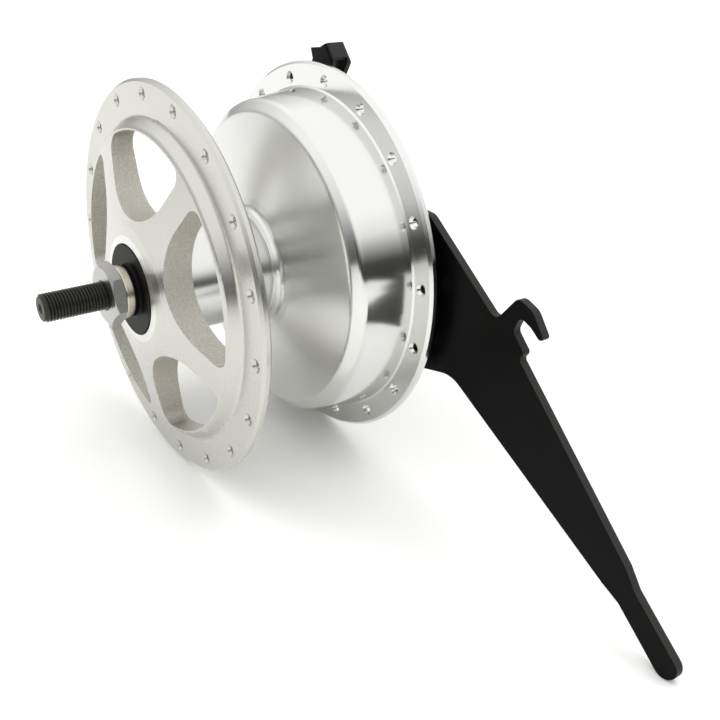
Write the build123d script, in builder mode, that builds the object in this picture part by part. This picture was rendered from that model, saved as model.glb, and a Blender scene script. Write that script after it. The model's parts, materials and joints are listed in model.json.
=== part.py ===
from build123d import *
import os
from math import asin, atan2, cos, degrees, hypot, radians, sin, sqrt, tan

os.makedirs("parts", exist_ok=True)

# Drum brake hub for a spoked wheel, in millimetres.
# Y is the axle line with the brake on +Y, Z is up, and the origin is the wheel centre,
# midway between the two locknut faces. The left nut's place is set, and the right nuts
# follow from the flanges, plate and arm, which brings the hub to 100 over its locknuts.
# The hub lies as on a table: the right flange and the tip of the reaction arm touch the
# plane one flange radius below the axle.

# Axle and end fittings
left_nut_reach = 50.0
axle_length = 140.0
thread_radius = 4.5
thread_depth = 0.25
thread_end_chamfer = 0.7
centre_drill_radius = 1.6
centre_drill_depth = 3.0
seat_radius = 6.0
shoulder_height = 1.2
locknut_across_flats = 18.0
locknut_thickness = 4.0
locknut_turn = 48.0
locknut_mouth_clearance = 0.5
nut_mouth_clearance = 0.2
washer_radius = 8.6
washer_thickness = 3.4
washer_round = 0.7
plate_nut_across_flats = 17.0
plate_nut_turn = 32.0
plate_nut_flange_radius = 11.0
plate_nut_flange_thickness = 1.6
plate_nut_height = 4.3
thread_clearance = 0.05

# Sealed ball bearings, one size for both sides
bearing_radius = 14.0
bearing_width = 8.0
ball_radius = 2.3
ball_count = 9
race_clearance = 0.08
race_land = 1.4
seal_thickness = 0.8
seal_seat_depth = 0.4
seal_lip_clearance = 0.12
cage_wall = 1.4
cage_width = 5.8
cage_pocket_clearance = 0.12

# Brake drum: radii, from the friction face outwards
drum_bore_radius = 45.0
liner_thickness = 3.5
drum_wall = 8.0
spoke_flange_width = 8.5
cone_edge_over_liner = 2.1
shoulder_over_liner = 5.7
plate_seat_width = 3.5
boss_wall = 4.5
boss_lip = 0.4
collar_wall = 1.1
cone_foot_width = 4.1

# Brake drum: lengths along the axle
right_bearing_start = 6.8
barrel_grip = 6.0
cone_foot_rise = 3.8
cone_rise = 4.05
shoulder_rise = 2.8
cone_edge_round = 3.2
shoulder_round = 2.8
neck_bevel = 0.6
floor_thickness_at_boss = 6.0
floor_thickness_at_liner = 3.75
liner_floor_gap = 0.4
liner_sink = 0.3
plate_recess_depth = 3.1
recess_bevel = 0.4

# Left flange, barrel and dust cap
left_flange_offset = 30.1
flange_overall = 62.2
rim_thickness = 3.1
rim_edge_bevel = 0.9
left_radius_less = 1.2
left_rim_width = 11.3
step_width = 2.5
web_step = 3.6
web_thickness_outer = 7.0
web_thickness_inner = 10.8
barrel_wall = 3.3
barrel_lip = 1.2
nose_wall = 3.1
web_foot_wall = 4.2
window_count = 5
window_angle = 92.0
window_foot_wall = 2.9
window_rim_wall = 1.1
window_bar_width = 9.6
window_corner = 3.9
nose_drop = 0.9
cap_seat_wall = 2.4
cap_thickness = 1.6
cap_proud = 0.15
cap_edge = 0.35
cap_boss_inset = 0.3
cap_boss_height = 1.5
cap_boss_round = 0.9
cap_gap = 0.3
cap_foot_inset = 0.4
cap_foot_height = 0.5

# Spoke holes
spoke_count = 18
right_spoke_edge = 5.0
left_spoke_edge = 4.3
spoke_hole_radius = 1.3
spoke_countersink_radius = 2.1
left_spoke_angle = 18.5

# Brake plate
plate_edge_gap = 0.5
plate_thickness = 2.2
plate_rim_sink = 0.6
plate_rise = 3.8
plate_rim_width = 4.3
plate_slope_width = 4.2
plate_bend_round = 1.6
spacer_radius = 7.4

# Reaction arm, in its own frame: s runs along the tip strip, n across it, from the axle
arm_thickness = 3.0
arm_edge_round = 0.4
arm_tip_s = 174.2
arm_tip_low_n = 44.8
arm_tip_width = 8.2
arm_tip_round = 3.8
axle_hole_clearance = 0.1
anchor_polar = 17.8
pivot_inset = 11.0
anchor_pin_radius = 5.0
anchor_pin_overhang = 3.5
anchor_shank_radius = 4.0
anchor_head_radius = 6.0
anchor_head_height = 1.7
rivet_radius = 2.5
rivet_head_radius = 4.4
rivet_head_height = 1.6
rivet_places = [(11.6, 31.9), (26.3, -16.4)]

# Cam spindle, lever and their fittings
cam_half_width = 3.2
cam_half_thickness = 2.2
cam_corner = 0.6
cam_overhang = 2.6
cam_collar_radius = 6.3
cam_collar_thickness = 1.6
cam_collar_gap = 0.2
journal_radius = 5.0
bush_clearance = 0.04
bush_wall = 1.56
bush_flange_width = 1.4
bush_flange_thickness = 0.8
bush_inner_length = 2.2
lever_gap = 0.2
lever_thickness = 1.7
lever_polar = 104.1
lever_hub_radius = 9.0
lever_fork_gap = 4.4
square_drive = 7.0
stud_radius = 3.0
lever_washer_radius = 6.2
lever_washer_thickness = 1.2
lever_nut_across_flats = 10.0
lever_nut_thickness = 5.0
stud_end = 0.8
fork_bend_round = 1.5
nipple_hole_radius = 2.3
nipple_hole_place = (52.0, -0.6)

# Brake shoes, linings and return springs
lining_clearance = 0.33
lining_thickness = 3.0
lining_start_angle = 28.0
platform_thickness = 3.0
platform_start_angle = 14.0
shoe_side_gap = 0.3
shoe_web_thickness = 4.0
shoe_web_depth = 9.7
shoe_web_start_angle = 8.0
shoe_eye_wall = 4.1
shoe_eye_clearance = 0.1
shoe_half_gap = 0.4
cam_pad_gap = 0.06
cam_pad_height = 6.0
cam_pad_inner_reach = 6.0
cam_pad_outer_inset = 1.2
spring_post_radius = 1.4
spring_post_inset = 8.7
spring_post_q = 19.0
spring_post_length = 6.4
spring_wire_radius = 0.5
spring_coil_radius = 2.5
spring_pitch = 1.6
spring_loop_radius = 2.3
spring_stand_off = 3.4
spring_loop_play = 0.05
spring_loop_angle = 300.0
spring_bend_height = 2.2

# Radii that follow from the sizes above
thread_pitch_radius = thread_radius - thread_depth
nut_mouth_radius = thread_radius + nut_mouth_clearance
shoulder_radius = seat_radius + shoulder_height
ball_pitch_radius = (seat_radius + bearing_radius) / 2
inner_ring_radius = ball_pitch_radius - race_land
outer_ring_bore = ball_pitch_radius + race_land
barrel_radius = bearing_radius + barrel_wall
barrel_bore = bearing_radius - barrel_lip
cap_seat_radius = barrel_radius - cap_seat_wall
cap_radius = cap_seat_radius - cap_gap
cap_foot_radius = inner_ring_radius - cap_foot_inset
nose_radius = barrel_radius + nose_wall
web_foot_radius = barrel_radius + web_foot_wall
window_inner_radius = nose_radius + window_foot_wall
liner_radius = drum_bore_radius + liner_thickness
drum_neck_radius = liner_radius + drum_wall
flange_radius = drum_neck_radius + spoke_flange_width
left_flange_radius = flange_radius - left_radius_less
right_spoke_circle = flange_radius - right_spoke_edge
left_spoke_circle = left_flange_radius - left_spoke_edge
rim_inner_radius = left_flange_radius - left_rim_width
web_outer_radius = rim_inner_radius - step_width
window_outer_radius = web_outer_radius - window_rim_wall
half_bar = window_bar_width / 2
half_pitch_sine = sin(radians(180 / window_count))
window_arc_centre = (window_inner_radius - half_bar) / (1 - half_pitch_sine)
window_arc_radius = window_arc_centre * half_pitch_sine - half_bar
collar_radius = barrel_radius + collar_wall
cone_foot_radius = collar_radius + cone_foot_width
cone_edge_radius = liner_radius + cone_edge_over_liner
shoulder_start_radius = liner_radius + shoulder_over_liner
boss_radius = bearing_radius + boss_wall
plate_recess_radius = liner_radius + plate_seat_width
plate_radius = plate_recess_radius - plate_edge_gap
plate_rise_outer_radius = plate_radius - plate_rim_width
plate_rise_inner_radius = plate_rise_outer_radius - plate_slope_width
pivot_radius = drum_bore_radius - pivot_inset
bush_bore = journal_radius + bush_clearance
bush_radius = bush_bore + bush_wall
bush_flange_radius = bush_radius + bush_flange_width
stud_thread_radius = stud_radius - thread_depth
lining_radius = drum_bore_radius - lining_clearance
platform_radius = lining_radius - lining_thickness
platform_inner_radius = platform_radius - platform_thickness
shoe_web_inner_radius = platform_inner_radius - shoe_web_depth
shoe_eye_radius = anchor_pin_radius + shoe_eye_clearance + shoe_eye_wall
cam_pad_inner = pivot_radius - cam_pad_inner_reach
cam_pad_outer = platform_radius - cam_pad_outer_inset
spring_post_p = pivot_radius - spring_post_inset

# Places along the axle that follow from the sizes above
half_axle = axle_length / 2
left_boss_y = -left_nut_reach + locknut_thickness + washer_thickness
left_cap_y = left_boss_y + cap_boss_height
nose_y = left_cap_y + cap_proud
web_start_y = nose_y + nose_drop
barrel_end_y = nose_y + nose_drop * (barrel_radius - cap_seat_radius) / (nose_radius - cap_seat_radius)
left_bearing_y = left_cap_y + cap_thickness + cap_foot_height
left_shoulder_y = left_bearing_y + bearing_width
left_rim_y = -left_flange_offset
left_rim_back_y = left_rim_y + rim_thickness
web_edge_y = left_rim_y - web_step
collar_end = right_bearing_start - barrel_grip
cone_foot_end = collar_end + cone_foot_rise
cone_edge_end = cone_foot_end + cone_rise
shoulder_start_end = cone_edge_end + shoulder_rise
drum_floor_at_boss = cone_foot_end + floor_thickness_at_boss
drum_floor_at_liner = cone_edge_end + floor_thickness_at_liner
liner_start = drum_floor_at_liner + liner_floor_gap
right_rim_y = left_rim_y + flange_overall
right_rim_inner_y = right_rim_y - rim_thickness
right_bearing_end = right_bearing_start + bearing_width
recess_floor_y = right_rim_y - plate_recess_depth
liner_end = recess_floor_y - liner_sink
plate_rim_y = right_rim_y - plate_rim_sink
plate_face_y = plate_rim_y + plate_rise
plate_inner_y = plate_face_y - plate_thickness
arm_face_y = plate_face_y + arm_thickness
plate_nut_y = arm_face_y
right_washer_y = plate_nut_y + plate_nut_height
bush_face_y = plate_face_y + bush_flange_thickness
lever_y = bush_face_y + lever_gap
lever_face_y = lever_y + lever_thickness
fork_far_y = lever_face_y + lever_fork_gap
lever_nut_y = lever_face_y + lever_washer_thickness
stud_y = lever_nut_y + lever_nut_thickness + stud_end
shoe_start = liner_start + shoe_side_gap
shoe_end = liner_end - shoe_side_gap
shoe_mid_y = (shoe_start + shoe_end) / 2
web_low = shoe_mid_y - shoe_web_thickness / 2
web_high = shoe_mid_y + shoe_web_thickness / 2
spring_y = web_high + spring_stand_off
anchor_pin_start = web_low - anchor_pin_overhang
cam_start = web_low - cam_overhang

# Spoke holes of one flange lie halfway between those of the other
right_spoke_angle = left_spoke_angle + 180 / spoke_count

# The arm turns about the axle until its tip corner rests where the flanges rest
arm_tip_high_n = arm_tip_low_n + arm_tip_width
tip_corner_s = arm_tip_s - arm_tip_round
tip_corner_n = arm_tip_low_n + arm_tip_round
tip_reach = hypot(tip_corner_s, tip_corner_n)
tip_drop = (flange_radius - arm_tip_round) / tip_reach
arm_angle = -degrees(asin(tip_drop)) - degrees(atan2(tip_corner_n, tip_corner_s))
brake_angle = arm_angle + anchor_polar
lever_angle = arm_angle + lever_polar


def polar(radius, angle):
    """Point in the X, Z plane at a radius and an angle from +X towards +Z."""
    return radius * cos(radians(angle)), radius * sin(radians(angle))


anchor_centre = polar(pivot_radius, brake_angle)
cam_centre = polar(-pivot_radius, brake_angle)


def cross_plane(y, centre=(0.0, 0.0), angle=0.0):
    """Plane square to the axle at y. What is extruded from it runs towards -Y."""
    direction = (cos(radians(angle)), 0, sin(radians(angle)))
    return Plane(origin=(centre[0], y, centre[1]), x_dir=direction, z_dir=(0, -1, 0))


def outline(points):
    """Closed outline in the open sketch. A third value in a point rounds that corner."""
    with BuildSketch(mode=Mode.PRIVATE) as shape:
        with BuildLine():
            Polyline([point[:2] for point in points], close=True)
        make_face()
        for point in points:
            if len(point) == 3:
                corners = shape.vertices().sort_by_distance((point[0], point[1], 0))
                fillet(corners[0], point[2])
    return shape.sketch


def turned_rounding(before, corner, after, radius, flats):
    """Points along the rounding of a corner, which is turned as a few narrow cones."""
    middle = Vector(*corner)
    arm = (Vector(*before) - middle).normalized()
    other_arm = (Vector(*after) - middle).normalized()
    half_angle = arm.get_angle(other_arm) / 2
    centre = middle + (arm + other_arm).normalized() * (radius / sin(radians(half_angle)))
    spoke = middle + arm * (radius / tan(radians(half_angle))) - centre
    step = (180 - 2 * half_angle) / flats
    if arm.cross(other_arm).Z > 0:
        step = -step
    spokes = [spoke.rotate(Axis.Z, step * i) for i in range(flats + 1)]
    return [((centre + turned_spoke).X, (centre + turned_spoke).Y) for turned_spoke in spokes]


def turned(points, centre=(0.0, 0.0), mode=Mode.ADD):
    """Turn a (radius, y) outline about a line along Y through a centre."""
    with BuildSketch(Plane.XY.move(Location((centre[0], 0, centre[1])))) as shape:
        add(outline(points))
    revolve(shape.sketch, axis=Axis((centre[0], 0, centre[1]), (0, 1, 0)), mode=mode)


def ring(inner, outer, low, high, centre=(0.0, 0.0), mode=Mode.ADD):
    """Plain turned ring between two radii and two places along the axle."""
    turned([(inner, low), (outer, low), (outer, high), (inner, high)], centre, mode)


def disc(radius, low, high, centre=(0.0, 0.0), mode=Mode.ADD):
    """Plain round bar or hole along Y."""
    with BuildSketch(cross_plane(high, centre)) as shape:
        Circle(radius)
    extrude(shape.sketch, amount=high - low, mode=mode)


def flat_piece(points, low, high, centre=(0.0, 0.0), angle=0.0, mode=Mode.ADD):
    """Plate of an outline, square to the axle, from low to high."""
    with BuildSketch(cross_plane(high, centre, angle)) as shape:
        add(outline(points))
    extrude(shape.sketch, amount=high - low, mode=mode)


def hexagon(across_flats, low, high, centre=(0.0, 0.0), turn=0.0):
    """Hexagon with its corners turned off on both faces."""
    corner = across_flats / sqrt(3)
    flat = across_flats / 2
    cut = 0.6 * (corner - flat)
    with BuildSketch(cross_plane(high, centre, turn)) as shape:
        RegularPolygon(radius=corner, side_count=6)
    extrude(shape.sketch, amount=high - low)
    turned(
        [(0, low), (flat, low), (corner, low + cut), (corner, high - cut), (flat, high), (0, high)],
        centre,
        Mode.INTERSECT,
    )


def nut_bore(bore, mouth, low, high, centre=(0.0, 0.0)):
    """Threaded hole of a nut at the pitch radius, opened out at both faces."""
    depth = mouth - bore
    outline_points = [
        (0, low),
        (mouth, low),
        (bore, low + depth),
        (bore, high - depth),
        (mouth, high),
        (0, high),
    ]
    turned(outline_points, centre, Mode.SUBTRACT)


def spoke_holes(circle_radius, outer_y, inner_y, start_angle):
    """Ring of spoke holes through a flange, countersunk on both faces."""
    depth = abs(inner_y - outer_y)
    middle = (outer_y + inner_y) / 2
    for normal in (-1, 1):
        face_y = middle + normal * depth / 2
        face = Plane(origin=(0, face_y, 0), x_dir=(1, 0, 0), z_dir=(0, normal, 0))
        start = start_angle * -normal
        with Locations(face):
            with PolarLocations(circle_radius, spoke_count, start_angle=start):
                CounterSinkHole(spoke_hole_radius, spoke_countersink_radius, depth, 90)


def save(piece, name):
    """Name a finished piece and write it."""
    piece.part.label = name
    export_step(piece.part, f"parts/{name}.step")


# Axle: a shouldered shaft with threaded ends. Under each nut the thread is drawn at its
# pitch radius, where nut and axle meet.
left_nut_end = -left_nut_reach + locknut_thickness
right_nut_start = right_washer_y + washer_thickness
right_nut_end = right_nut_start + locknut_thickness
with BuildPart() as axle:
    turned(
        [
            (0, -half_axle),
            (thread_radius - thread_end_chamfer, -half_axle),
            (thread_radius, -half_axle + thread_end_chamfer),
            (thread_radius, -left_nut_reach),
            (thread_pitch_radius, -left_nut_reach),
            (thread_pitch_radius, left_nut_end),
            (thread_radius, left_nut_end),
            (thread_radius, left_bearing_y),
            (seat_radius, left_bearing_y),
            (seat_radius, left_shoulder_y),
            (shoulder_radius, left_shoulder_y),
            (shoulder_radius, right_bearing_start),
            (seat_radius, right_bearing_start),
            (seat_radius, right_bearing_end),
            (thread_radius, right_bearing_end),
            (thread_radius, plate_nut_y),
            (thread_pitch_radius, plate_nut_y),
            (thread_pitch_radius, right_washer_y),
            (thread_radius, right_washer_y),
            (thread_radius, right_nut_start),
            (thread_pitch_radius, right_nut_start),
            (thread_pitch_radius, right_nut_end),
            (thread_radius, right_nut_end),
            (thread_radius, half_axle - thread_end_chamfer),
            (thread_radius - thread_end_chamfer, half_axle),
            (0, half_axle),
        ]
    )
    for end in (-1, 1):
        tip = end * half_axle
        turned(
            [(0, tip), (centre_drill_radius, tip), (0, tip - end * centre_drill_depth)],
            mode=Mode.SUBTRACT,
        )
save(axle, "axle")

# Locknuts and rounded spacer washers, the same on both ends
for side, nut_low, washer_low in (
    ("left", -left_nut_reach, left_nut_end),
    ("right", right_nut_start, right_washer_y),
):
    with BuildPart() as locknut:
        hexagon(locknut_across_flats, nut_low, nut_low + locknut_thickness, turn=locknut_turn)
        mouth = thread_radius + locknut_mouth_clearance
        nut_bore(thread_pitch_radius, mouth, nut_low, nut_low + locknut_thickness)
    save(locknut, f"{side}_locknut")

    washer_high = washer_low + washer_thickness
    with BuildPart() as washer:
        turned(
            [
                (thread_radius + thread_clearance, washer_low),
                (washer_radius, washer_low, washer_round),
                (washer_radius, washer_high, washer_round),
                (thread_radius + thread_clearance, washer_high),
            ]
        )
    save(washer, f"{side}_spacer_washer")

# Dust cap: a moulded disc that stands still with the axle in front of the left bearing
cap_back_y = left_cap_y + cap_thickness
with BuildPart() as left_dust_cap:
    turned(
        [
            (thread_radius + thread_clearance, left_boss_y),
            (washer_radius - cap_boss_inset, left_boss_y),
            (washer_radius - cap_boss_inset, left_cap_y, cap_boss_round),
            (cap_radius, left_cap_y, cap_edge),
            (cap_radius, cap_back_y),
            (cap_foot_radius, cap_back_y),
            (cap_foot_radius, left_bearing_y),
            (thread_radius + thread_clearance, left_bearing_y),
        ]
    )
save(left_dust_cap, "left_dust_cap")

# Bearings: inner ring on the axle, outer ring in the hub, balls in a cage and two seals
groove_radius = ball_radius + race_clearance
cage_inner = ball_pitch_radius - cage_wall / 2
cage_outer = ball_pitch_radius + cage_wall / 2
for side, bearing_low in (("left", left_bearing_y), ("right", right_bearing_start)):
    bearing_high = bearing_low + bearing_width
    bearing_mid = (bearing_low + bearing_high) / 2
    ball_centre = (ball_pitch_radius, bearing_mid)

    with BuildPart() as inner_ring:
        ring(seat_radius, inner_ring_radius, bearing_low, bearing_high)
        with BuildSketch(Plane.XY) as groove:
            with Locations(ball_centre):
                Circle(groove_radius)
        revolve(groove.sketch, axis=Axis.Y, mode=Mode.SUBTRACT)
    save(inner_ring, f"{side}_bearing_inner_ring")

    with BuildPart() as outer_ring:
        ring(outer_ring_bore, bearing_radius, bearing_low, bearing_high)
        with BuildSketch(Plane.XY) as groove:
            with Locations(ball_centre):
                Circle(groove_radius)
        revolve(groove.sketch, axis=Axis.Y, mode=Mode.SUBTRACT)
        seal_seat = outer_ring_bore + seal_seat_depth
        ring(0, seal_seat, bearing_low, bearing_low + seal_thickness, mode=Mode.SUBTRACT)
        ring(0, seal_seat, bearing_high - seal_thickness, bearing_high, mode=Mode.SUBTRACT)
    save(outer_ring, f"{side}_bearing_outer_ring")

    with BuildPart() as seals:
        for seal_low in (bearing_low, bearing_high - seal_thickness):
            lip = inner_ring_radius + seal_lip_clearance
            ring(lip, seal_seat, seal_low, seal_low + seal_thickness)
    save(seals, f"{side}_bearing_seals")

    with BuildPart() as cage:
        ring(cage_inner, cage_outer, bearing_mid - cage_width / 2, bearing_mid + cage_width / 2)
        with Locations(cross_plane(bearing_mid)):
            with PolarLocations(ball_pitch_radius, ball_count):
                pocket_radius = ball_radius + cage_pocket_clearance
                Cylinder(pocket_radius, 3 * cage_wall, rotation=(0, 90, 0), mode=Mode.SUBTRACT)
    save(cage, f"{side}_bearing_cage")

    with BuildPart() as balls:
        with Locations(cross_plane(bearing_mid)):
            with PolarLocations(ball_pitch_radius, ball_count):
                Sphere(ball_radius)
    save(balls, f"{side}_bearing_balls")

# Left flange: thin spoke rim, a coned step, and a dished web with five windows
web_back_edge_y = web_edge_y + web_thickness_outer
web_foot_y = nose_y + web_thickness_inner
with BuildPart() as left_flange:
    turned(
        [
            (left_flange_radius, left_rim_y + rim_edge_bevel),
            (left_flange_radius - rim_edge_bevel, left_rim_y),
            (rim_inner_radius, left_rim_y, 1.5),
            (web_outer_radius, web_edge_y, 1.5),
            (nose_radius, web_start_y),
            (barrel_radius, barrel_end_y),
            (barrel_radius, web_foot_y),
            (web_foot_radius, web_foot_y),
            (web_outer_radius, web_back_edge_y),
            (rim_inner_radius, left_rim_back_y),
            (left_flange_radius - rim_edge_bevel, left_rim_back_y),
            (left_flange_radius, left_rim_back_y - rim_edge_bevel),
        ]
    )
    with BuildSketch(cross_plane(left_rim_back_y + web_thickness_outer)) as windows:
        Circle(window_outer_radius)
        bar_angle = window_angle + 180 / window_count
        with PolarLocations(window_outer_radius, window_count, start_angle=bar_angle):
            Rectangle(2 * window_outer_radius, window_bar_width, mode=Mode.SUBTRACT)
        corners = windows.vertices().sort_by_distance((0, 0, 0))
        fillet(corners[window_count:], window_corner)
        corners = windows.vertices().sort_by_distance((0, 0, 0))
        fillet(corners[:window_count], window_arc_radius)
    extrude(windows.sketch, amount=flange_radius, mode=Mode.SUBTRACT)
    spoke_holes(left_spoke_circle, left_rim_y, left_rim_back_y, left_spoke_angle)
save(left_flange, "left_flange")

# Barrel: a turned tube pressed into the left flange and into the drum shell
with BuildPart() as hub_barrel:
    turned(
        [
            (cap_seat_radius, nose_y),
            (barrel_radius, barrel_end_y),
            (barrel_radius, right_bearing_start),
            (barrel_bore, right_bearing_start),
            (barrel_bore, left_shoulder_y),
            (bearing_radius, left_shoulder_y),
            (bearing_radius, left_bearing_y),
            (cap_seat_radius, left_bearing_y),
        ]
    )
save(hub_barrel, "hub_barrel")

# Drum shell: collar, coned face, rounded shoulder, drum wall and right spoke flange
cone_foot = (cone_foot_radius, cone_foot_end)
cone_edge = (cone_edge_radius, cone_edge_end)
shoulder_edge = (shoulder_start_radius, shoulder_start_end)
drum_neck = (drum_neck_radius, right_rim_inner_y)
with BuildPart() as drum_shell:
    turned(
        [
            (barrel_radius, collar_end),
            (collar_radius, collar_end, 0.3),
            (collar_radius + 0.4, cone_foot_end - 0.9, 2.4),
            cone_foot,
            *turned_rounding(cone_foot, cone_edge, shoulder_edge, cone_edge_round, 5),
            *turned_rounding(cone_edge, shoulder_edge, drum_neck, shoulder_round, 4),
            (drum_neck_radius, right_rim_inner_y - neck_bevel),
            (drum_neck_radius + neck_bevel, right_rim_inner_y),
            (flange_radius - rim_edge_bevel, right_rim_inner_y),
            (flange_radius, right_rim_inner_y + rim_edge_bevel),
            (flange_radius, right_rim_y - rim_edge_bevel),
            (flange_radius - rim_edge_bevel, right_rim_y),
            (plate_recess_radius + recess_bevel, right_rim_y),
            (plate_recess_radius, right_rim_y - recess_bevel),
            (plate_recess_radius, recess_floor_y),
            (liner_radius, recess_floor_y),
            (liner_radius, liner_start),
            (drum_bore_radius, liner_start),
            (drum_bore_radius, drum_floor_at_liner),
            (boss_radius, drum_floor_at_boss, 1.5),
            (boss_radius, right_bearing_end + boss_lip),
            (bearing_radius + boss_lip, right_bearing_end + boss_lip),
            (bearing_radius, right_bearing_end),
            (bearing_radius, right_bearing_start),
            (barrel_radius, right_bearing_start),
        ]
    )
    spoke_holes(right_spoke_circle, right_rim_y, right_rim_inner_y, right_spoke_angle)
save(drum_shell, "drum_shell")

with BuildPart() as drum_liner:
    turned(
        [
            (drum_bore_radius, liner_start),
            (liner_radius, liner_start),
            (liner_radius, liner_end),
            (drum_bore_radius + 0.5, liner_end),
            (drum_bore_radius, liner_end - 0.5),
        ]
    )
save(drum_liner, "drum_liner")

# Spacer tube between the right bearing and the brake plate
with BuildPart() as brake_side_spacer:
    ring(thread_radius + thread_clearance, spacer_radius, right_bearing_end, plate_inner_y)
save(brake_side_spacer, "brake_side_spacer")

# Brake plate: a pressed steel dish whose raised middle carries the arm
with BuildPart() as brake_plate:
    turned(
        [
            (thread_radius + axle_hole_clearance, plate_inner_y),
            (thread_radius + axle_hole_clearance, plate_face_y),
            (plate_rise_inner_radius, plate_face_y, plate_bend_round),
            (plate_rise_outer_radius, plate_rim_y, plate_bend_round),
            (plate_radius, plate_rim_y, 0.5),
            (plate_radius, plate_rim_y - plate_thickness),
            (plate_rise_outer_radius - 0.8, plate_rim_y - plate_thickness, plate_bend_round),
            (plate_rise_inner_radius - 0.8, plate_inner_y, plate_bend_round),
        ]
    )
    disc(bush_radius, plate_inner_y, plate_face_y, cam_centre, Mode.SUBTRACT)
    disc(anchor_shank_radius, plate_inner_y, plate_face_y, anchor_centre, Mode.SUBTRACT)
    with BuildSketch(cross_plane(plate_face_y, angle=arm_angle)) as plate_rivet_holes:
        with Locations(*rivet_places):
            Circle(rivet_radius)
    extrude(plate_rivet_holes.sketch, amount=plate_thickness, mode=Mode.SUBTRACT)
save(brake_plate, "brake_plate")

# Reaction arm: one flat blank from the axle to the tip, with the cable stop hook
arm_blank = [
    (24.7, 55.2, 4.5),
    (64.3, 57.9, 3.0),
    (64.1, 70.6, 3.0),
    (70.3, 72.9, 5.0),
    (79.5, 70.8, 1.05),
    (77.5, 69.1, 0.8),
    (73.2, 68.8, 3.0),
    (68.9, 67.3, 2.0),
    (70.6, 62.0, 2.0),
    (78.0, 61.4, 1.3),
    (78.2, 58.4, 1.2),
    (142.9, 54.7, 2.0),
    (149.9, arm_tip_high_n, 2.0),
    (arm_tip_s, arm_tip_high_n, arm_tip_round),
    (arm_tip_s, arm_tip_low_n, arm_tip_round),
    (150.8, arm_tip_low_n, 3.0),
    (144.0, 42.9, 6.0),
    (67.6, 27.3, 12.0),
    (37.0, -14.0, 7.0),
    (8.0, -27.0, 12.0),
    (-20.0, -14.0, 10.0),
    (-21.0, 14.0, 10.0),
    (-10.0, 30.2, 10.0),
]
with BuildPart() as reaction_arm:
    flat_piece(arm_blank, plate_face_y, arm_face_y, angle=arm_angle)
    disc(thread_radius + axle_hole_clearance, plate_face_y, arm_face_y, mode=Mode.SUBTRACT)
    disc(anchor_shank_radius, plate_face_y, arm_face_y, anchor_centre, Mode.SUBTRACT)
    with BuildSketch(cross_plane(arm_face_y, angle=arm_angle)) as arm_rivet_holes:
        with Locations(*rivet_places):
            Circle(rivet_radius)
    extrude(arm_rivet_holes.sketch, amount=arm_thickness, mode=Mode.SUBTRACT)
    arm_faces = reaction_arm.faces().sort_by(Axis.Y)
    fillet(arm_faces[-1].outer_wire().edges(), arm_edge_round)
    arm_faces = reaction_arm.faces().sort_by(Axis.Y)
    fillet(arm_faces[0].outer_wire().edges(), arm_edge_round)
save(reaction_arm, "reaction_arm")

# Rivets through arm and plate, with a domed head outside and a flat one inside
with BuildPart() as arm_rivets:
    for rivet_s, rivet_n in rivet_places:
        place = polar(hypot(rivet_s, rivet_n), arm_angle + degrees(atan2(rivet_n, rivet_s)))
        head_top = arm_face_y + rivet_head_height
        foot = plate_inner_y - rivet_head_height / 2
        turned(
            [
                (0, foot),
                (rivet_head_radius, foot),
                (rivet_head_radius, plate_inner_y),
                (rivet_radius, plate_inner_y),
                (rivet_radius, arm_face_y),
                (rivet_head_radius, arm_face_y),
                (rivet_head_radius, head_top, 1.2),
                (0, head_top),
            ],
            place,
        )
save(arm_rivets, "arm_rivets")

# Anchor pin: both shoes pivot on its thick inner part, and its end is riveted over the arm
with BuildPart() as anchor_pin:
    head_top = arm_face_y + anchor_head_height
    turned(
        [
            (0, anchor_pin_start),
            (anchor_pin_radius, anchor_pin_start, 0.8),
            (anchor_pin_radius, plate_inner_y),
            (anchor_shank_radius, plate_inner_y),
            (anchor_shank_radius, arm_face_y),
            (anchor_head_radius, arm_face_y),
            (anchor_head_radius, head_top, 1.3),
            (0, head_top),
        ],
        anchor_centre,
    )
save(anchor_pin, "anchor_pin")

# Flanged nut that clamps the arm and plate on the axle
with BuildPart() as plate_nut:
    hexagon(plate_nut_across_flats, plate_nut_y, right_washer_y, turn=plate_nut_turn)
    ring(0, plate_nut_flange_radius, plate_nut_y, plate_nut_y + plate_nut_flange_thickness)
    nut_bore(thread_pitch_radius, nut_mouth_radius, plate_nut_y, right_washer_y)
save(plate_nut, "plate_nut")

# Flanged bush for the cam spindle, pressed into the plate from outside
with BuildPart() as cam_bush:
    turned(
        [
            (bush_bore, plate_inner_y - bush_inner_length),
            (bush_radius, plate_inner_y - bush_inner_length),
            (bush_radius, plate_face_y),
            (bush_flange_radius, plate_face_y),
            (bush_flange_radius, bush_face_y, 0.3),
            (bush_bore, bush_face_y),
        ],
        cam_centre,
    )
save(cam_bush, "cam_bush")

# Cam spindle: flat cam between the shoes, collar, journal, square for the lever and stud
collar_low = plate_inner_y - bush_inner_length - cam_collar_gap - cam_collar_thickness
cam_outline = [
    (-cam_half_width, -cam_half_thickness, cam_corner),
    (cam_half_width, -cam_half_thickness, cam_corner),
    (cam_half_width, cam_half_thickness, cam_corner),
    (-cam_half_width, cam_half_thickness, cam_corner),
]
with BuildPart() as cam_spindle:
    flat_piece(cam_outline, cam_start, collar_low, cam_centre, brake_angle)
    disc(cam_collar_radius, collar_low, collar_low + cam_collar_thickness, cam_centre)
    disc(journal_radius, collar_low, bush_face_y + lever_gap / 2, cam_centre)
    with BuildSketch(cross_plane(lever_face_y, cam_centre, lever_angle)) as drive:
        Rectangle(square_drive, square_drive)
    extrude(drive.sketch, amount=lever_thickness + lever_gap / 2)
    disc(stud_radius, lever_face_y, lever_nut_y, cam_centre)
    disc(stud_thread_radius, lever_nut_y, lever_nut_y + lever_nut_thickness, cam_centre)
    disc(stud_radius, lever_nut_y + lever_nut_thickness, stud_y, cam_centre)
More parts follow.
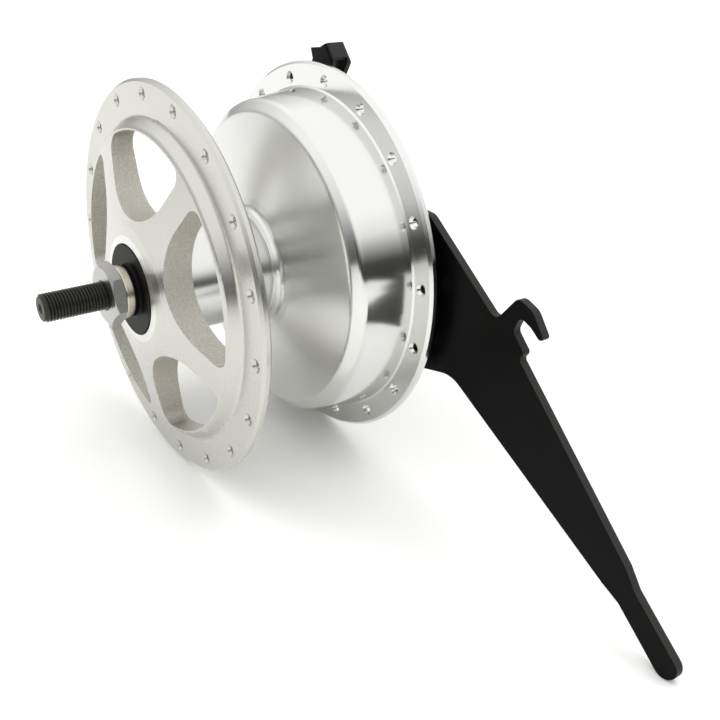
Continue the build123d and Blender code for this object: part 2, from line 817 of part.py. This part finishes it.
save(cam_spindle, "cam_spindle")

# Brake lever: a bent steel strap, its end folded to a fork for the cable
fork_end_low = (61.25, -4.8)
fork_end_high = (63.55, 0.5)
fork_shoulder = (60.4, 2.9)
lever_outline = [
    (3.0, -8.2, 2.0),
    (22.0, -5.6, 20.0),
    (59.6, -5.8),
    fork_end_low,
    fork_end_high,
    (*fork_shoulder, 0.8),
    (57.3, 7.6, 0.4),
    (54.8, 5.0, 1.0),
    (22.0, 6.2, 20.0),
    (3.0, 8.2, 2.0),
]
fork_plate_outline = [
    (47.5, -4.6, 2.5),
    (59.6, -5.8),
    fork_end_low,
    fork_end_high,
    (*fork_shoulder, 0.8),
    (49.5, 4.0, 2.5),
]
strap_back = (-lever_thickness * 0.92, lever_thickness * 0.4)
strap_outline = [
    fork_end_low,
    fork_end_high,
    (fork_end_high[0] + strap_back[0], fork_end_high[1] + strap_back[1]),
    (fork_end_low[0] + strap_back[0], fork_end_low[1] + strap_back[1]),
]
with BuildPart() as brake_lever:
    disc(lever_hub_radius, lever_y, lever_face_y, cam_centre)
    flat_piece(lever_outline, lever_y, lever_face_y, cam_centre, lever_angle)
    fork_top_y = fork_far_y + lever_thickness
    flat_piece(fork_plate_outline, fork_far_y, fork_top_y, cam_centre, lever_angle)
    flat_piece(strap_outline, lever_y, fork_top_y, cam_centre, lever_angle)
    strap_middle_s = (fork_end_low[0] + fork_end_high[0]) / 2
    strap_middle_n = (fork_end_low[1] + fork_end_high[1]) / 2
    for bend_y in (lever_y, fork_top_y):
        bend_middle = cross_plane(bend_y, cam_centre, lever_angle).from_local_coords(
            (strap_middle_s, strap_middle_n, 0)
        )
        fillet(brake_lever.edges().sort_by_distance(bend_middle)[0], fork_bend_round)
    with BuildSketch(cross_plane(fork_top_y, cam_centre, lever_angle)) as lever_holes:
        with Locations(nipple_hole_place):
            Circle(nipple_hole_radius)
        Rectangle(square_drive, square_drive)
    extrude(lever_holes.sketch, amount=fork_top_y - lever_y, mode=Mode.SUBTRACT)
save(brake_lever, "brake_lever")

with BuildPart() as lever_washer:
    ring(stud_radius + thread_clearance, lever_washer_radius, lever_face_y, lever_nut_y, cam_centre)
save(lever_washer, "lever_washer")

with BuildPart() as lever_nut:
    nut_top = lever_nut_y + lever_nut_thickness
    hexagon(lever_nut_across_flats, lever_nut_y, nut_top, cam_centre, lever_angle)
    nut_bore(stud_thread_radius, stud_radius + nut_mouth_clearance, lever_nut_y, nut_top, cam_centre)
save(lever_nut, "lever_nut")


def arc_band(inner, outer, start_angle, side, low, high):
    """Curved band about the axle on one side of the line through anchor and cam."""
    span = 180 - 2 * start_angle
    with BuildSketch(cross_plane(high, angle=brake_angle)) as band:
        with BuildLine():
            start = side * start_angle
            CenterArc((0, 0), outer, start, side * span)
            CenterArc((0, 0), inner, start, side * span)
            for end in (start, start + side * span):
                inner_end = polar(inner, end)
                outer_end = polar(outer, end)
                Line(inner_end, outer_end)
        make_face()
    extrude(band.sketch, amount=high - low)


# Brake shoes: a curved platform on a web, with a half eye on the anchor pin, a pad on the
# cam and two posts for the return springs. Each carries a bonded lining.
post_top = web_high + spring_post_length
pad_low = cam_half_thickness + cam_pad_gap
for side_name, side in (("upper", 1), ("lower", -1)):
    with BuildPart() as shoe:
        arc_band(
            platform_inner_radius, platform_radius, platform_start_angle, side, shoe_start, shoe_end
        )
        web_outer = platform_inner_radius + platform_thickness / 2
        arc_band(
            shoe_web_inner_radius, web_outer, shoe_web_start_angle, side, web_low, web_high
        )
        with BuildSketch(cross_plane(web_high, angle=brake_angle)) as shoe_ends:
            with Locations((pivot_radius, 0)):
                Circle(shoe_eye_radius)
            pad_centre = -(cam_pad_inner + cam_pad_outer) / 2
            with Locations((pad_centre, side * (pad_low + cam_pad_height / 2))):
                Rectangle(cam_pad_outer - cam_pad_inner, cam_pad_height)
            with Locations((pivot_radius, -side * (shoe_eye_radius - shoe_half_gap / 2))):
                Rectangle(3 * shoe_eye_radius, 2 * shoe_eye_radius + shoe_half_gap, mode=Mode.SUBTRACT)
        extrude(shoe_ends.sketch, amount=shoe_web_thickness)
        pin_bore = anchor_pin_radius + shoe_eye_clearance
        disc(pin_bore, shoe_start, shoe_end, anchor_centre, Mode.SUBTRACT)
        with BuildSketch(cross_plane(post_top, angle=brake_angle)) as posts:
            for post_side in (-1, 1):
                with Locations((post_side * spring_post_p, side * spring_post_q)):
                    Circle(spring_post_radius)
        extrude(posts.sketch, amount=spring_post_length + shoe_web_thickness / 2)
    save(shoe, f"{side_name}_brake_shoe")

    with BuildPart() as lining:
        arc_band(
            platform_radius, lining_radius, lining_start_angle, side, shoe_start, shoe_end
        )
    save(lining, f"{side_name}_brake_lining")

# Return springs: one round wire, coiled between two open loops that hook over the posts
loop_place = spring_post_q - (spring_loop_radius - spring_wire_radius - spring_post_radius)
loop_place += spring_loop_play
foot_z = loop_place - spring_loop_radius
spring_turns = int(2 * (foot_z - spring_bend_height) / spring_pitch) + 0.5
coil_half = spring_turns * spring_pitch / 2
coil = Helix(spring_pitch, 2 * coil_half, spring_coil_radius, center=(0, 0, -coil_half))
coil = coil.rotate(Axis.Z, -90)


def loop_point(end, angle):
    """Point on an end loop, at an angle from its foot on the spring's middle line."""
    swing = spring_loop_radius * sin(radians(angle))
    rise = spring_loop_radius * cos(radians(angle))
    return Vector(swing, 0, end * (loop_place - rise))


low_foot = loop_point(-1, 0)
high_foot = loop_point(1, 0)
low_loop = ThreePointArc(
    loop_point(-1, spring_loop_angle), loop_point(-1, spring_loop_angle / 2), low_foot
)
high_loop = ThreePointArc(
    high_foot, loop_point(1, spring_loop_angle / 2), loop_point(1, spring_loop_angle)
)
low_bend = Spline(low_foot, coil @ 0, tangents=(Vector(-1, 0, 0), coil % 0))
high_bend = Spline(coil @ 1, high_foot, tangents=(coil % 1, Vector(1, 0, 0)))
wire_parts = [low_loop, low_bend, coil, high_bend, high_loop]
spring_line = Wire([part.edge() for part in wire_parts])
wire_section = Plane(origin=low_loop @ 0, z_dir=low_loop % 0) * Circle(spring_wire_radius)
spring_shape = sweep(wire_section, path=spring_line)

brake_line = Vector(cos(radians(brake_angle)), 0, sin(radians(brake_angle)))
across_brake_line = Vector(-brake_line.Z, 0, brake_line.X)
for spring_name, spring_side in (("anchor_end_spring", 1), ("cam_end_spring", -1)):
    spring_centre = brake_line * spring_side * spring_post_p + Vector(0, spring_y, 0)
    spring_place = Plane(spring_centre, x_dir=brake_line, z_dir=across_brake_line).location
    with BuildPart() as spring:
        add(spring_place * spring_shape)
    save(spring, spring_name)

for name, place in (("anchor", anchor_centre), ("cam", cam_centre)):
    print(name, "centre", [round(value, 4) for value in place])
print("arm angle", round(arm_angle, 4), "brake angle", round(brake_angle, 4))
print("lever angle", round(lever_angle, 4))
print("spring gap between turns", round(spring_pitch - 2 * spring_wire_radius, 3))
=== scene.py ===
import json
import math

import bpy
from mathutils import Matrix, Vector


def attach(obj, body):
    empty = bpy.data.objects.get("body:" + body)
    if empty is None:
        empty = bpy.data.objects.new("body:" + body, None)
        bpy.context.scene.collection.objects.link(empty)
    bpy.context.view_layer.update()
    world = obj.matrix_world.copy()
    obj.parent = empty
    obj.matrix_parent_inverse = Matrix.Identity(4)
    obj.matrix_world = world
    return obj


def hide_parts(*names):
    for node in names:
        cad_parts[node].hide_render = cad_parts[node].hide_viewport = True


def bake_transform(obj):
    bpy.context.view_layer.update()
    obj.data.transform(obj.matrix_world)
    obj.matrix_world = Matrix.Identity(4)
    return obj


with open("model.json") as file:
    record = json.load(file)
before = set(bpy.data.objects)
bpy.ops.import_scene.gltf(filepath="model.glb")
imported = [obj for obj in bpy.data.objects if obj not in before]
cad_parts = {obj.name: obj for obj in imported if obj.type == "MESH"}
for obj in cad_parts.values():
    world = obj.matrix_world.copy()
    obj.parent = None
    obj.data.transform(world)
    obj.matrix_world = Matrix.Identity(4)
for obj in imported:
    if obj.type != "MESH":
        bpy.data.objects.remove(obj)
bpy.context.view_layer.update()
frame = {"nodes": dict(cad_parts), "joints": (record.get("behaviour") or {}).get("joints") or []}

# The hub lies on a pale table, as in the photograph: the axle is the Y line, the brake is
# on +Y and Z is up. All lengths here are in millimetres and mm turns them to metres.
mm = 0.001
flange_radius = 65.0

# Camera at the photograph's place
camera_place = Vector((253.981, -146.418, 128.460))
camera_right = Vector((0.588797, 0.805650, 0.065163))
camera_up = Vector((-0.428016, 0.242388, 0.870661))
camera_back = Vector((0.685653, -0.540533, 0.487548))

camera_data = bpy.data.cameras.new("camera")
camera_data.sensor_width = 36.0
camera_data.lens = 46.14
camera_data.clip_start = 0.01
camera_data.clip_end = 50.0
camera = bpy.data.objects.new("camera", camera_data)
bpy.context.scene.collection.objects.link(camera)
turn = Matrix((camera_right, camera_up, camera_back)).transposed().to_4x4()
camera.matrix_world = Matrix.Translation(camera_place * mm) @ turn
bpy.context.scene.camera = camera
bpy.context.scene.view_settings.view_transform = "Standard"

# Sockets by number: a map range's two ranges, and for each kind of mix its two inputs and
# its output, since Blender gives several of them the same name
range_low, range_high, range_to_low, range_to_high = 1, 2, 3, 4
mix_sockets = {"FLOAT": (2, 3, 0), "VECTOR": (4, 5, 1), "RGBA": (6, 7, 2)}


def linear(code):
    """An sRGB colour such as "D8D8D5" as the linear values that Blender wants."""
    parts = [int(code[i : i + 2], 16) / 255 for i in (0, 2, 4)]
    return [p / 12.92 if p <= 0.04045 else ((p + 0.055) / 1.055) ** 2.4 for p in parts] + [1.0]


def add(tree, kind, inputs=None, **properties):
    """Adds a node. Each input is a plain value or another node's output."""
    node = tree.nodes.new(kind)
    for name, value in properties.items():
        setattr(node, name, value)
    for key, value in (inputs or {}).items():
        if isinstance(value, bpy.types.NodeSocket):
            tree.links.new(value, node.inputs[key])
        else:
            node.inputs[key].default_value = value
    return node


def reckon(tree, operation, first, *second):
    """The result of one sum, such as ADD, on one or two values or outputs."""
    inputs = dict(enumerate((first, *second)))
    return add(tree, "ShaderNodeMath", inputs, operation=operation).outputs[0]


def rescale(tree, value, low, high, to_low=0.0, to_high=1.0):
    """Moves a value from one range to another and holds it at the ends."""
    inputs = {0: value, range_low: low, range_high: high,
              range_to_low: to_low, range_to_high: to_high}
    return add(tree, "ShaderNodeMapRange", inputs).outputs[0]


def blend_values(tree, kind, share, first, second):
    """The first at share 0 and the second at share 1."""
    first_socket, second_socket, result = mix_sockets[kind]
    inputs = {0: share, first_socket: first, second_socket: second}
    return add(tree, "ShaderNodeMix", inputs, data_type=kind).outputs[result]


def noise(tree, place, size, detail, roughness=0.5):
    """Cloudy noise whose largest blotches are about that size."""
    inputs = {"Vector": place, "Scale": 1 / (size * mm), "Detail": detail,
              "Roughness": roughness}
    return add(tree, "ShaderNodeTexNoise", inputs).outputs["Fac"]


def bump(tree, height, strength, depth):
    inputs = {"Height": height, "Strength": strength, "Distance": depth * mm}
    return add(tree, "ShaderNodeBump", inputs).outputs[0]


def own_place(tree):
    """Where a point lies in the object, which doesn't change as the object moves."""
    return add(tree, "ShaderNodeTexCoord").outputs["Object"]


def square_on(tree):
    """0 on a face along the axle and 1 on a face square to it."""
    normal = add(tree, "ShaderNodeTexCoord").outputs["Normal"]
    facing = add(tree, "ShaderNodeSeparateXYZ", {0: normal})
    return reckon(tree, "ABSOLUTE", facing.outputs["Y"])


def new_material(name):
    """An empty node material and its tree."""
    material = bpy.data.materials.new(name)
    material.use_nodes = True
    tree = material.node_tree
    tree.nodes.clear()
    return material, tree


def finish_material(tree, inputs):
    shader = add(tree, "ShaderNodeBsdfPrincipled", inputs)
    add(tree, "ShaderNodeOutputMaterial", {"Surface": shader.outputs["BSDF"]})


def paint(node_names, material):
    for name in node_names:
        for slot in frame["nodes"][name].material_slots:
            slot.material = material


# Materials. Each is named for the real one and how it was made.
noise_low, noise_high = 0.3, 0.7
grain_detail = 3.0
ring_detail = 2.0
ring_strength = 0.2
sheen_across_rings = 0.25
stain_size = 14
stain_low, stain_high = 0.92, 1.08
window_outer_radius = 49.6
wall_limit = 0.12
cast_grain_size = 0.6
cast_grain_depth = 0.4
cast_grain_detail = 4.0
cast_grain_roughness = 0.6
cast_roughness = 0.5
cast_dark_tone, cast_light_tone = "B8B4A9", "D6D3CA"


def turned_aluminium(name, tone, zones, streak, spacing, depth, cast_walls=False):
    """Lathe-turned aluminium: a satin sheen drawn out along the radius by the tool's rings.

    The zones are pairs of a radius in millimetres and the roughness that is reached there.
    The rings are a bump that changes with the distance from the axle and the place along it.
    """
    material, tree = new_material(name)
    place = own_place(tree)
    across = add(tree, "ShaderNodeVectorMath", {0: place, 1: (1.0, 0.0, 1.0)}, operation="MULTIPLY")
    away = add(tree, "ShaderNodeVectorMath", {0: across.outputs[0]}, operation="LENGTH")
    radius = away.outputs["Value"]
    along = add(tree, "ShaderNodeSeparateXYZ", {0: place})
    profile = add(tree, "ShaderNodeCombineXYZ", {"X": radius, "Y": along.outputs["Y"]})
    rings = noise(tree, profile.outputs[0], spacing, ring_detail)
    relief = bump(tree, rings, ring_strength, depth)

    reach = reckon(tree, "MULTIPLY", radius, 1 / (flange_radius * mm))
    zone = add(tree, "ShaderNodeValToRGB", {"Fac": reach})
    while len(zone.color_ramp.elements) < len(zones):
        zone.color_ramp.elements.new(0.5)
    for element, (at, level) in zip(zone.color_ramp.elements, zones):
        element.position = at / flange_radius
        element.color = (level, level, level, 1.0)
    # Two noises are added, so their sum has twice the range of one
    uneven = reckon(tree, "ADD", noise(tree, place, stain_size, grain_detail), rings)
    stain = rescale(tree, uneven, 2 * noise_low, 2 * noise_high, stain_low, stain_high)
    roughness = reckon(tree, "MULTIPLY", zone.outputs["Color"], stain)

    colour = linear(tone)
    if cast_walls:
        # Window walls are as cast, grainy and duller. They are the faces that look sideways.
        wall = reckon(tree, "LESS_THAN", square_on(tree), wall_limit)
        inner = reckon(tree, "LESS_THAN", radius, window_outer_radius * mm)
        cast = reckon(tree, "MULTIPLY", wall, inner)
        grain = noise(tree, place, cast_grain_size, cast_grain_detail, cast_grain_roughness)
        sand = blend_values(tree, "RGBA", rescale(tree, grain, noise_low, noise_high),
                            linear(cast_dark_tone), linear(cast_light_tone))
        colour = blend_values(tree, "RGBA", cast, colour, sand)
        roughness = blend_values(tree, "FLOAT", cast, roughness, cast_roughness)
        grit = bump(tree, grain, 1.0, cast_grain_depth)
        relief = blend_values(tree, "VECTOR", cast, relief, grit)
    around = add(tree, "ShaderNodeTangent", direction_type="RADIAL", axis="Y")
    finish_material(tree, {
        "Metallic": 1.0, "Anisotropic": streak, "Anisotropic Rotation": sheen_across_rings,
        "Tangent": around.outputs[0], "Base Color": colour, "Roughness": roughness,
        "Normal": relief})
    return material


def plain_metal(name, tone, roughness, grain_size=0.6, grain_depth=0.02):
    """Plated or machined steel: even colour, with a fine grain that breaks the shine."""
    material, tree = new_material(name)
    grain = noise(tree, own_place(tree), grain_size, grain_detail)
    finish_material(tree, {
        "Metallic": 1.0, "Base Color": linear(tone),
        "Roughness": rescale(tree, grain, noise_low, noise_high, roughness * 0.8,
                             roughness * 1.2),
        "Normal": bump(tree, grain, 0.3, grain_depth)})
    return material


def coated(name, tones, roughness, ior, grain_size, grain_depth, shine=0.5, edge_highlight_tone=None):
    """Paint, plastic, rubber or lining: two close tones in a fine grain with a soft sheen.

    An edge tone paints a highlight on plate: its sides, which look across the axle, are made
    lighter than its flat faces.
    """
    material, tree = new_material(name)
    grain = noise(tree, own_place(tree), grain_size, grain_detail)
    dark, light = (linear(tone) for tone in tones)
    colour = blend_values(tree, "RGBA", grain, dark, light)
    if edge_highlight_tone:
        # Painted highlight: faces that look sideways from the axle, the plate's edges, are blended
        # towards the lighter edge tone
        edge_highlight_share = rescale(tree, square_on(tree), 0.9, 0.4)
        colour = blend_values(tree, "RGBA", edge_highlight_share, colour, linear(edge_highlight_tone))
    finish_material(tree, {
        "Base Color": colour, "Roughness": roughness, "IOR": ior, "Specular IOR Level": shine,
        "Normal": bump(tree, grain, 0.4, grain_depth)})
    return material


# The flange is satin turned, the drum finer and glossier, and the barrel glossier still.
# The tool's real rings are 0.15 mm apart and are drawn at 0.5 mm so that they show.
paint(["left_flange"], turned_aluminium(
    "satin_turned_aluminium", "C7C6C1",
    [(0, 0.24), (20.2, 0.24), (21.0, 0.28), (flange_radius, 0.28)],
    streak=0.55, spacing=0.5, depth=0.012, cast_walls=True))
paint(["drum_shell"], turned_aluminium(
    "fine_turned_aluminium", "DCDCDA",
    [(0, 0.2), (24, 0.32), (50, 0.3), (51.5, 0.14), (flange_radius, 0.15)],
    streak=0.6, spacing=0.45, depth=0.006))
paint(["hub_barrel"], turned_aluminium(
    "smooth_turned_aluminium", "D8D8D6", [(0, 0.24), (flange_radius, 0.24)],
    streak=0.5, spacing=0.5, depth=0.006))
paint(["drum_liner"], turned_aluminium(
    "turned_cast_iron", "7E7C79", [(0, 0.38), (flange_radius, 0.38)],
    streak=0.4, spacing=0.5, depth=0.01))

zinc = plain_metal("zinc_plated_steel", "B4B4B1", 0.33)
paint(["left_locknut", "right_locknut", "plate_nut", "lever_nut", "lever_washer",
       "brake_side_spacer", "brake_plate", "anchor_pin", "arm_rivets", "cam_spindle"], zinc)
nickel = plain_metal("nickel_plated_steel", "CFC8B8", 0.22)
paint(["left_spacer_washer", "right_spacer_washer"], nickel)
spring_steel = plain_metal("drawn_spring_steel", "9A9A98", 0.3)
black_oxide = plain_metal("black_oxide_steel", "454541", 0.46)
paint(["cam_bush"], plain_metal(
    "sintered_bronze", "B58A4C", 0.45, grain_size=0.4, grain_depth=0.05))
paint(["upper_brake_shoe", "lower_brake_shoe"], plain_metal(
    "die_cast_aluminium", "B7B7B4", 0.5, grain_size=0.9, grain_depth=0.08))
ground = plain_metal("ground_bearing_steel", "C6C6C4", 0.12)
for side in ("left", "right"):
    paint([f"{side}_bearing_inner_ring", f"{side}_bearing_outer_ring",
           f"{side}_bearing_balls"], ground)
    paint([f"{side}_bearing_cage"], nickel)

# The arm and lever paint carries a painted highlight: a lighter grey on the plate's edges
paint(["reaction_arm", "brake_lever"], coated(
    "semi_matt_black_paint", ("070707", "0C0C0C"), roughness=0.36, ior=1.5,
    grain_size=0.5, grain_depth=0.02, shine=0.06, edge_highlight_tone="343432"))
paint(["left_dust_cap"], coated(
    "moulded_black_nylon", ("090909", "101010"), roughness=0.36, ior=1.53,
    grain_size=0.6, grain_depth=0.02, shine=0.06))
paint(["left_bearing_seals", "right_bearing_seals"], coated(
    "black_nitrile_rubber", ("0E0E0E", "171717"), roughness=0.6, ior=1.52,
    grain_size=0.5, grain_depth=0.03))
paint(["upper_brake_lining", "lower_brake_lining"], coated(
    "bonded_friction_lining", ("3A332C", "5A5148"), roughness=0.8, ior=1.5,
    grain_size=0.8, grain_depth=0.08))

# Shared by the pieces that are modelled here
merge_distance = 0.002 * mm
smooth_angle = math.radians(35)


def clear_selection():
    bpy.ops.object.select_all(action="DESELECT")


def select_only(piece):
    clear_selection()
    piece.select_set(True)
    bpy.context.view_layer.objects.active = piece


def name_piece(name):
    piece = bpy.context.active_object
    piece.name = name
    piece.data.name = name
    return piece


def start_edit():
    bpy.ops.object.mode_set(mode="EDIT")
    bpy.ops.mesh.select_all(action="SELECT")


def end_edit():
    bpy.ops.object.mode_set(mode="OBJECT")


def give_finish(piece, material):
    bpy.ops.object.shade_smooth_by_angle(angle=smooth_angle)
    piece.data.materials.clear()
    piece.data.materials.append(material)


# Threaded axle: the solid's plain cylinder gets its real M9 x 1 thread here
axle_end = 70.0
axle_chamfer = 0.7
axle_end_radius = 3.7
axle_lead_in = 0.4
bearing_seat_radius = 6.0
middle_radius = 7.2
left_seat_start, left_seat_end = -39.0, -31.0
right_seat_start, right_seat_end = 6.8, 14.8
centre_drill_radius = 1.6
centre_drill_depth = 3.0
centre_drill_tip = 0.1
thread_radius = 4.5
thread_root = 3.9
thread_pitch = 1.0
thread_foot = 0.47 * thread_pitch
thread_crest = 0.08 * thread_pitch
thread_sunk = 0.15
thread_start = 0.1
thread_steps = 40
left_turns, right_turns = 29, 40
bar_sides = 96


def turned_bar(name, stations):
    """A bar turned about the axle: a disc drawn out along Y from station to station."""
    clear_selection()
    radius, y = stations[0]
    bpy.ops.mesh.primitive_circle_add(
        vertices=bar_sides, radius=radius * mm, fill_type="NGON", location=(0, y * mm, 0),
        rotation=(math.radians(90), 0, 0))
    bar = name_piece(name)
    start_edit()
    for next_radius, next_y in stations[1:]:
        bpy.ops.mesh.extrude_region_move(TRANSFORM_OT_translate={
            "value": (0, (next_y - y) * mm, 0), "orient_type": "GLOBAL"})
        if next_radius != radius:
            growth = next_radius / radius
            bpy.ops.transform.resize(value=(growth, 1, growth), orient_type="GLOBAL",
                                     center_override=(0, next_y * mm, 0))
        radius, y = next_radius, next_y
    end_edit()
    return bar


def thread_ridge(name, start, turns):
    """One helical ridge with a flat crest, its foot sunk in the bar."""
    clear_selection()
    bpy.ops.mesh.primitive_plane_add(size=1, location=(0, 0, 0))
    ridge = name_piece(name)
    section = [(thread_root - thread_sunk, -thread_foot), (thread_root - thread_sunk, thread_foot),
               (thread_radius, thread_crest), (thread_radius, -thread_crest)]
    corners = sorted(ridge.data.vertices, key=lambda v: math.atan2(v.co.y, v.co.x))
    for corner, (radius, y) in zip(corners, section):
        corner.co = (radius * mm, (start + y) * mm, 0)
    start_edit()
    bpy.ops.mesh.delete(type="ONLY_FACE")
    end_edit()
    screw = ridge.modifiers.new("thread", "SCREW")
    screw.axis = "Y"
    screw.angle = math.tau
    screw.screw_offset = thread_pitch * mm
    screw.iterations = turns
    screw.steps = screw.render_steps = thread_steps
    screw.use_smooth_shade = False
    bpy.ops.object.modifier_apply(modifier=screw.name)
    start_edit()
    bpy.ops.mesh.remove_doubles(threshold=merge_distance)
    bpy.ops.mesh.select_all(action="DESELECT")
    bpy.ops.mesh.select_non_manifold()
    bpy.ops.mesh.fill_holes(sides=6)
    end_edit()
    # The ridge stops at the axle's ends and keeps inside their chamfer
    for vertex in ridge.data.vertices:
        x, y, z = vertex.co
        y = max(-axle_end * mm, min(axle_end * mm, y))
        room = thread_radius * mm - max(0, abs(y) - (axle_end - axle_chamfer) * mm)
        scale = min(1, room / math.hypot(x, z))
        vertex.co = (x * scale, y, z * scale)
    return ridge


bar = turned_bar("threaded_axle", [
    (centre_drill_tip, centre_drill_depth - axle_end),
    (centre_drill_radius, -axle_end),
    (axle_end_radius, -axle_end),
    (thread_root, axle_lead_in - axle_end),
    (thread_root, left_seat_start),
    (bearing_seat_radius, left_seat_start),
    (bearing_seat_radius, left_seat_end),
    (middle_radius, left_seat_end),
    (middle_radius, right_seat_start),
    (bearing_seat_radius, right_seat_start),
    (bearing_seat_radius, right_seat_end),
    (thread_root, right_seat_end),
    (thread_root, axle_end - axle_lead_in),
    (axle_end_radius, axle_end),
    (centre_drill_radius, axle_end),
    (centre_drill_tip, axle_end - centre_drill_depth)])
left_thread = thread_ridge("left_thread", thread_start - axle_end, left_turns)
right_thread = thread_ridge("right_thread", axle_end - right_turns - thread_start, right_turns)
clear_selection()
for piece in (bar, left_thread, right_thread):
    piece.select_set(True)
bpy.context.view_layer.objects.active = bar
bpy.ops.object.join()
bpy.ops.object.transform_apply(location=True, rotation=True, scale=True)
start_edit()
bpy.ops.mesh.remove_doubles(threshold=merge_distance)
bpy.ops.mesh.normals_make_consistent(inside=False)
end_edit()
give_finish(bar, black_oxide)
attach(bar, "brake_side")
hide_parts("axle")

# Return springs: the solid is rigid, so a copy of it is cut in the middle here, into an upper and a
# lower half named for the shoe on each side.
pivot_places = {joint["name"]: Vector(joint["pos_m"]) for joint in frame["joints"]}
anchor = pivot_places["upper_shoe_pivot"]
across_shoes = Vector((-anchor.z, 0, anchor.x)).normalized()


def spring_half(node_name, shoe_side, direction):
    half = frame["nodes"][node_name].copy()
    half.data = half.data.copy()
    half.hide_render = half.hide_viewport = False
    half.parent = None
    half.matrix_world = Matrix.Identity(4)
    bpy.context.scene.collection.objects.link(half)
    select_only(half)
    name_piece(f"{node_name}_{shoe_side}_half")
    start_edit()
    bpy.ops.mesh.remove_doubles(threshold=merge_distance)
    bpy.ops.mesh.select_all(action="SELECT")
    bpy.ops.mesh.bisect(plane_co=(0, 0, 0), plane_no=direction, clear_inner=True, use_fill=True)
    end_edit()
    give_finish(half, spring_steel)
    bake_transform(half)
    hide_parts(node_name)


for spring_name in ("anchor_end_spring", "cam_end_spring"):
    spring_half(spring_name, "upper", across_shoes)
    spring_half(spring_name, "lower", -across_shoes)

# Plain pale table, 12 m wide, which the right flange and the tip of the arm touch
clear_selection()
bpy.ops.mesh.primitive_plane_add(size=12, location=(0, 0, -flange_radius * mm))
table = name_piece("table_top")
table_material, tree = new_material("matt_white_table")
finish_material(tree, {"Base Color": linear("F6F6F4"), "Roughness": 0.9})
table.data.materials.append(table_material)

# Soft studio light: a white tent, brightest overhead, with the dark room showing low down
# on the side where the photographer stands. Heights are the Z of a direction, from 0 to 1.
tent_full_height = 0.65
tent_low_level, tent_top_level = 0.42, 1.3
room_direction = (0.956, -0.292, 0.0)
room_starts, room_full = 0.35, 0.65
room_dark_height, room_top_height = 0.18, 0.46
room_darkness = 0.9

world = bpy.data.worlds.new("studio")
bpy.context.scene.world = world
world.use_nodes = True
tree = world.node_tree
tree.nodes.clear()
looking = add(tree, "ShaderNodeTexCoord").outputs["Generated"]
height = add(tree, "ShaderNodeSeparateXYZ", {0: looking}).outputs["Z"]
fade = rescale(tree, height, 0.0, tent_full_height, tent_low_level, tent_top_level)
side = add(tree, "ShaderNodeVectorMath", {0: looking, 1: room_direction}, operation="DOT_PRODUCT")
open_side = rescale(tree, side.outputs["Value"], room_starts, room_full)
low_down = rescale(tree, height, room_dark_height, room_top_height, room_darkness, 0.0)
room = reckon(tree, "MULTIPLY", open_side, low_down)
tent = reckon(tree, "SUBTRACT", 1.0, room)
level = reckon(tree, "MULTIPLY", fade, tent)
# What the camera sees behind the table is the pale tent, from every side
ray = add(tree, "ShaderNodeLightPath")
shown = blend_values(tree, "FLOAT", ray.outputs["Is Camera Ray"], level, 1.0)
sky = add(tree, "ShaderNodeBackground", {"Color": linear("FFFFFF"), "Strength": shown})
add(tree, "ShaderNodeOutputWorld", {"Surface": sky.outputs[0]})


def soft_box(name, place_mm, width, height, power):
    """A broad white lamp, sized in metres, that points at the hub's middle."""
    lamp = bpy.data.lights.new(name, "AREA")
    lamp.shape = "RECTANGLE"
    lamp.size = width
    lamp.size_y = height
    lamp.energy = power
    box = bpy.data.objects.new(name, lamp)
    bpy.context.scene.collection.objects.link(box)
    box.location = Vector(place_mm) * mm
    box.rotation_euler = (-box.location).to_track_quat("-Z", "Y").to_euler()
    box.visible_glossy = False


soft_box("key_light", (-500, -700, 900), width=0.7, height=0.7, power=3)
soft_box("top_light", (200, 300, 1100), width=0.9, height=0.6, power=3)
